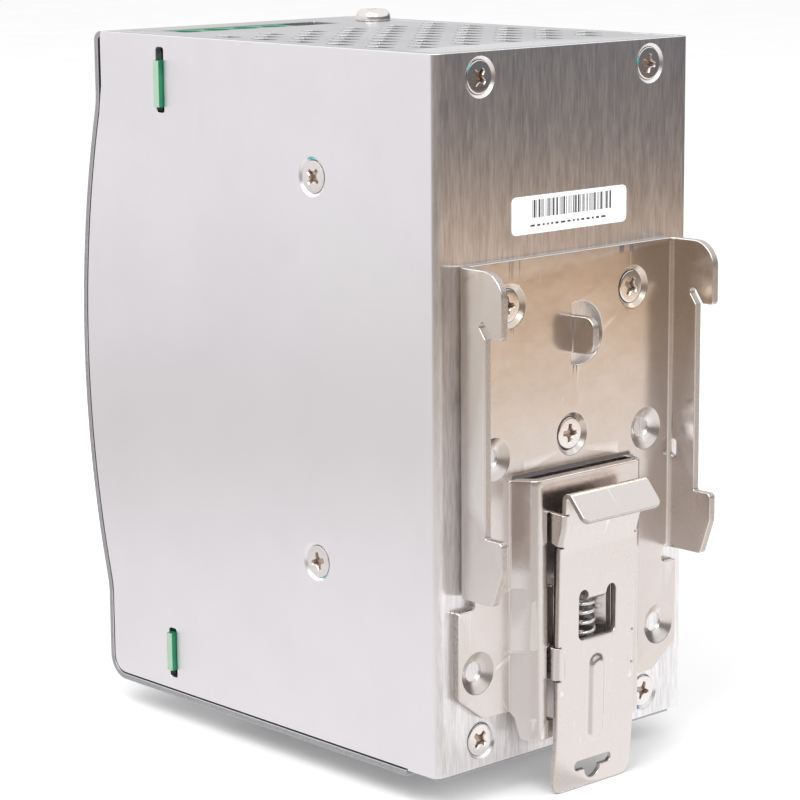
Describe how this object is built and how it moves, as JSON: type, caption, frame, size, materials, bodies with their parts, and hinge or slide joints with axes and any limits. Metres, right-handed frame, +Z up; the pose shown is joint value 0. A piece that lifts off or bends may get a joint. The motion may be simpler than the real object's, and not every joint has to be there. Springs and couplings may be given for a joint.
{
  "type": "DIN-rail power supply",
  "caption": "Sheet-metal switching power supply with a bowed front, vented top and bottom, and a rear bracket with a sprung clip for a 35 mm DIN rail.",
  "frame": {"origin": "centre of the rail's seat: the plane of the bracket's ear edges that the rail's lips rest on, midway between hooks and teeth and on the middle of the width", "axes": "+X to the right seen from the front, -Y out of the front and +Y towards the rail and the wall, +Z up"},
  "size_m": [0.0654, 0.1138, 0.1338],
  "materials": {
    "chassis_sheet": "fine vertical brushed grain, satin",
    "cover_sheet": "satin sheet with punched slots",
    "bracket_steel": "warm nickel plating, faint grain and rub marks",
    "clip_steel": "warm nickel plating on spring steel",
    "spring_wire": "bright drawn wire",
    "screw_nickel": "nickel plated",
    "label_paper": "white film label with plain bars",
    "board_green": "glass-epoxy board with green solder mask",
    "small_bracket": "zinc plated",
    "insulator": "thin insulating film",
    "standoff_brass": "turned",
    "terminal_green": "moulded",
    "contact_brass": "tinned strip",
    "led_lens": "tinted clear lens",
    "trimmer_blue": "moulded",
    "trimmer_white": "moulded",
    "fuse_body": "ceramic tube",
    "ferrite": "sintered, dark grey",
    "iron_powder": "coated powder core",
    "copper_wire": "enamelled copper",
    "film_capacitor": "moulded box",
    "disc_capacitor": "dipped",
    "epoxy_black": "moulded epoxy",
    "capacitor_sleeve": "shrunk sleeve",
    "winding_tape": "polyester tape",
    "thermal_pad": "silicone pad",
    "heat_sink_metal": "extruded",
    "terminal_screw": "plated",
    "terminal_clamp": "plated"
  },
  "bodies": {
    "housing": {"chassis": "chassis_sheet", "front_cover": "cover_sheet", "din_bracket": "bracket_steel", "clip_spring": "spring_wire", "rear_screws": "screw_nickel", "bracket_screws": "screw_nickel", "side_screws": "screw_nickel", "board_screws": "screw_nickel", "top_screw": "screw_nickel", "serial_label": "label_paper", "front_board": "board_green", "main_board": "board_green", "control_board": "board_green", "front_board_bracket": "small_bracket", "insulating_sheet": "insulator", "board_standoffs": "standoff_brass", "output_terminal_block": "terminal_green", "input_terminal_block": "terminal_green", "output_contacts": "contact_brass", "input_contacts": "contact_brass", "status_led": "led_lens", "trimmer_body": "trimmer_blue", "mains_fuse": "fuse_body", "choke_core": "ferrite", "pfc_core": "ferrite", "transformer_core": "ferrite", "output_choke_core": "iron_powder", "choke_windings": "copper_wire", "pfc_winding": "copper_wire", "output_choke_winding": "copper_wire", "x_capacitor": "film_capacitor", "y_capacitors": "disc_capacitor", "bridge_rectifier": "epoxy_black", "switching_transistors": "epoxy_black", "output_rectifiers": "epoxy_black", "control_chips": "epoxy_black", "bulk_capacitor": "capacitor_sleeve", "output_capacitors": "capacitor_sleeve", "transformer_winding": "winding_tape", "insulating_pads": "thermal_pad", "lower_heat_sink": "heat_sink_metal", "upper_heat_sink": "heat_sink_metal"},
    "release_clip": {"release_clip": "clip_steel"},
    "voltage_adjuster": {"trimmer_rotor": "trimmer_white"},
    "output_screw_1": {"output_screw_1": "terminal_screw"},
    "output_clamp_1": {"output_clamp_1": "terminal_clamp"},
    "output_screw_2": {"output_screw_2": "terminal_screw"},
    "output_clamp_2": {"output_clamp_2": "terminal_clamp"},
    "output_screw_3": {"output_screw_3": "terminal_screw"},
    "output_clamp_3": {"output_clamp_3": "terminal_clamp"},
    "output_screw_4": {"output_screw_4": "terminal_screw"},
    "output_clamp_4": {"output_clamp_4": "terminal_clamp"},
    "input_screw_1": {"input_screw_1": "terminal_screw"},
    "input_clamp_1": {"input_clamp_1": "terminal_clamp"},
    "input_screw_2": {"input_screw_2": "terminal_screw"},
    "input_clamp_2": {"input_clamp_2": "terminal_clamp"},
    "input_screw_3": {"input_screw_3": "terminal_screw"},
    "input_clamp_3": {"input_clamp_3": "terminal_clamp"}
  },
  "joints": [
    {"name": "clip_slide", "type": "slide", "parent": "housing", "child": "release_clip", "axis": [0, 0, 1], "range_m": [-0.0065, 0], "stiffness_N_per_m": 1500, "springref_m": 0.006, "deforming": ["clip_spring"]},
    {"name": "adjuster_turn", "type": "hinge", "parent": "housing", "child": "voltage_adjuster", "pos_m": [-0.018, -0.0974, 0.0387], "axis": [0, 1, 0], "range_deg": [-135, 135]},
    {"name": "output_screw_1_turn", "type": "hinge", "parent": "housing", "child": "output_screw_1", "pos_m": [-0.00125, -0.0873, 0.0609], "axis": [0, 0, -1], "range_deg": [0, 1440]},
    {"name": "output_clamp_1_rise", "type": "slide", "parent": "housing", "child": "output_clamp_1", "axis": [0, 0, 1], "range_m": [0, 0.002]},
    {"name": "output_screw_2_turn", "type": "hinge", "parent": "housing", "child": "output_screw_2", "pos_m": [0.00575, -0.0873, 0.0609], "axis": [0, 0, -1], "range_deg": [0, 1440]},
    {"name": "output_clamp_2_rise", "type": "slide", "parent": "housing", "child": "output_clamp_2", "axis": [0, 0, 1], "range_m": [0, 0.002]},
    {"name": "output_screw_3_turn", "type": "hinge", "parent": "housing", "child": "output_screw_3", "pos_m": [0.01275, -0.0873, 0.0609], "axis": [0, 0, -1], "range_deg": [0, 1440]},
    {"name": "output_clamp_3_rise", "type": "slide", "parent": "housing", "child": "output_clamp_3", "axis": [0, 0, 1], "range_m": [0, 0.002]},
    {"name": "output_screw_4_turn", "type": "hinge", "parent": "housing", "child": "output_screw_4", "pos_m": [0.01975, -0.0873, 0.0609], "axis": [0, 0, -1], "range_deg": [0, 1440]},
    {"name": "output_clamp_4_rise", "type": "slide", "parent": "housing", "child": "output_clamp_4", "axis": [0, 0, 1], "range_m": [0, 0.002]},
    {"name": "input_screw_1_turn", "type": "hinge", "parent": "housing", "child": "input_screw_1", "pos_m": [-0.009, -0.0873, -0.0594], "axis": [0, 0, 1], "range_deg": [0, 1440]},
    {"name": "input_clamp_1_rise", "type": "slide", "parent": "housing", "child": "input_clamp_1", "axis": [0, 0, -1], "range_m": [0, 0.002]},
    {"name": "input_screw_2_turn", "type": "hinge", "parent": "housing", "child": "input_screw_2", "pos_m": [0, -0.0873, -0.0594], "axis": [0, 0, 1], "range_deg": [0, 1440]},
    {"name": "input_clamp_2_rise", "type": "slide", "parent": "housing", "child": "input_clamp_2", "axis": [0, 0, -1], "range_m": [0, 0.002]},
    {"name": "input_screw_3_turn", "type": "hinge", "parent": "housing", "child": "input_screw_3", "pos_m": [0.009, -0.0873, -0.0594], "axis": [0, 0, 1], "range_deg": [0, 1440]},
    {"name": "input_clamp_3_rise", "type": "slide", "parent": "housing", "child": "input_clamp_3", "axis": [0, 0, -1], "range_m": [0, 0.002]}
  ],
  "couplings": [
    {"joint": "output_screw_1_turn", "follows": "output_clamp_1_rise", "rad_per_m": 12566},
    {"joint": "output_screw_2_turn", "follows": "output_clamp_2_rise", "rad_per_m": 12566},
    {"joint": "output_screw_3_turn", "follows": "output_clamp_3_rise", "rad_per_m": 12566},
    {"joint": "output_screw_4_turn", "follows": "output_clamp_4_rise", "rad_per_m": 12566},
    {"joint": "input_screw_1_turn", "follows": "input_clamp_1_rise", "rad_per_m": 12566},
    {"joint": "input_screw_2_turn", "follows": "input_clamp_2_rise", "rad_per_m": 12566},
    {"joint": "input_screw_3_turn", "follows": "input_clamp_3_rise", "rad_per_m": 12566}
  ]
}
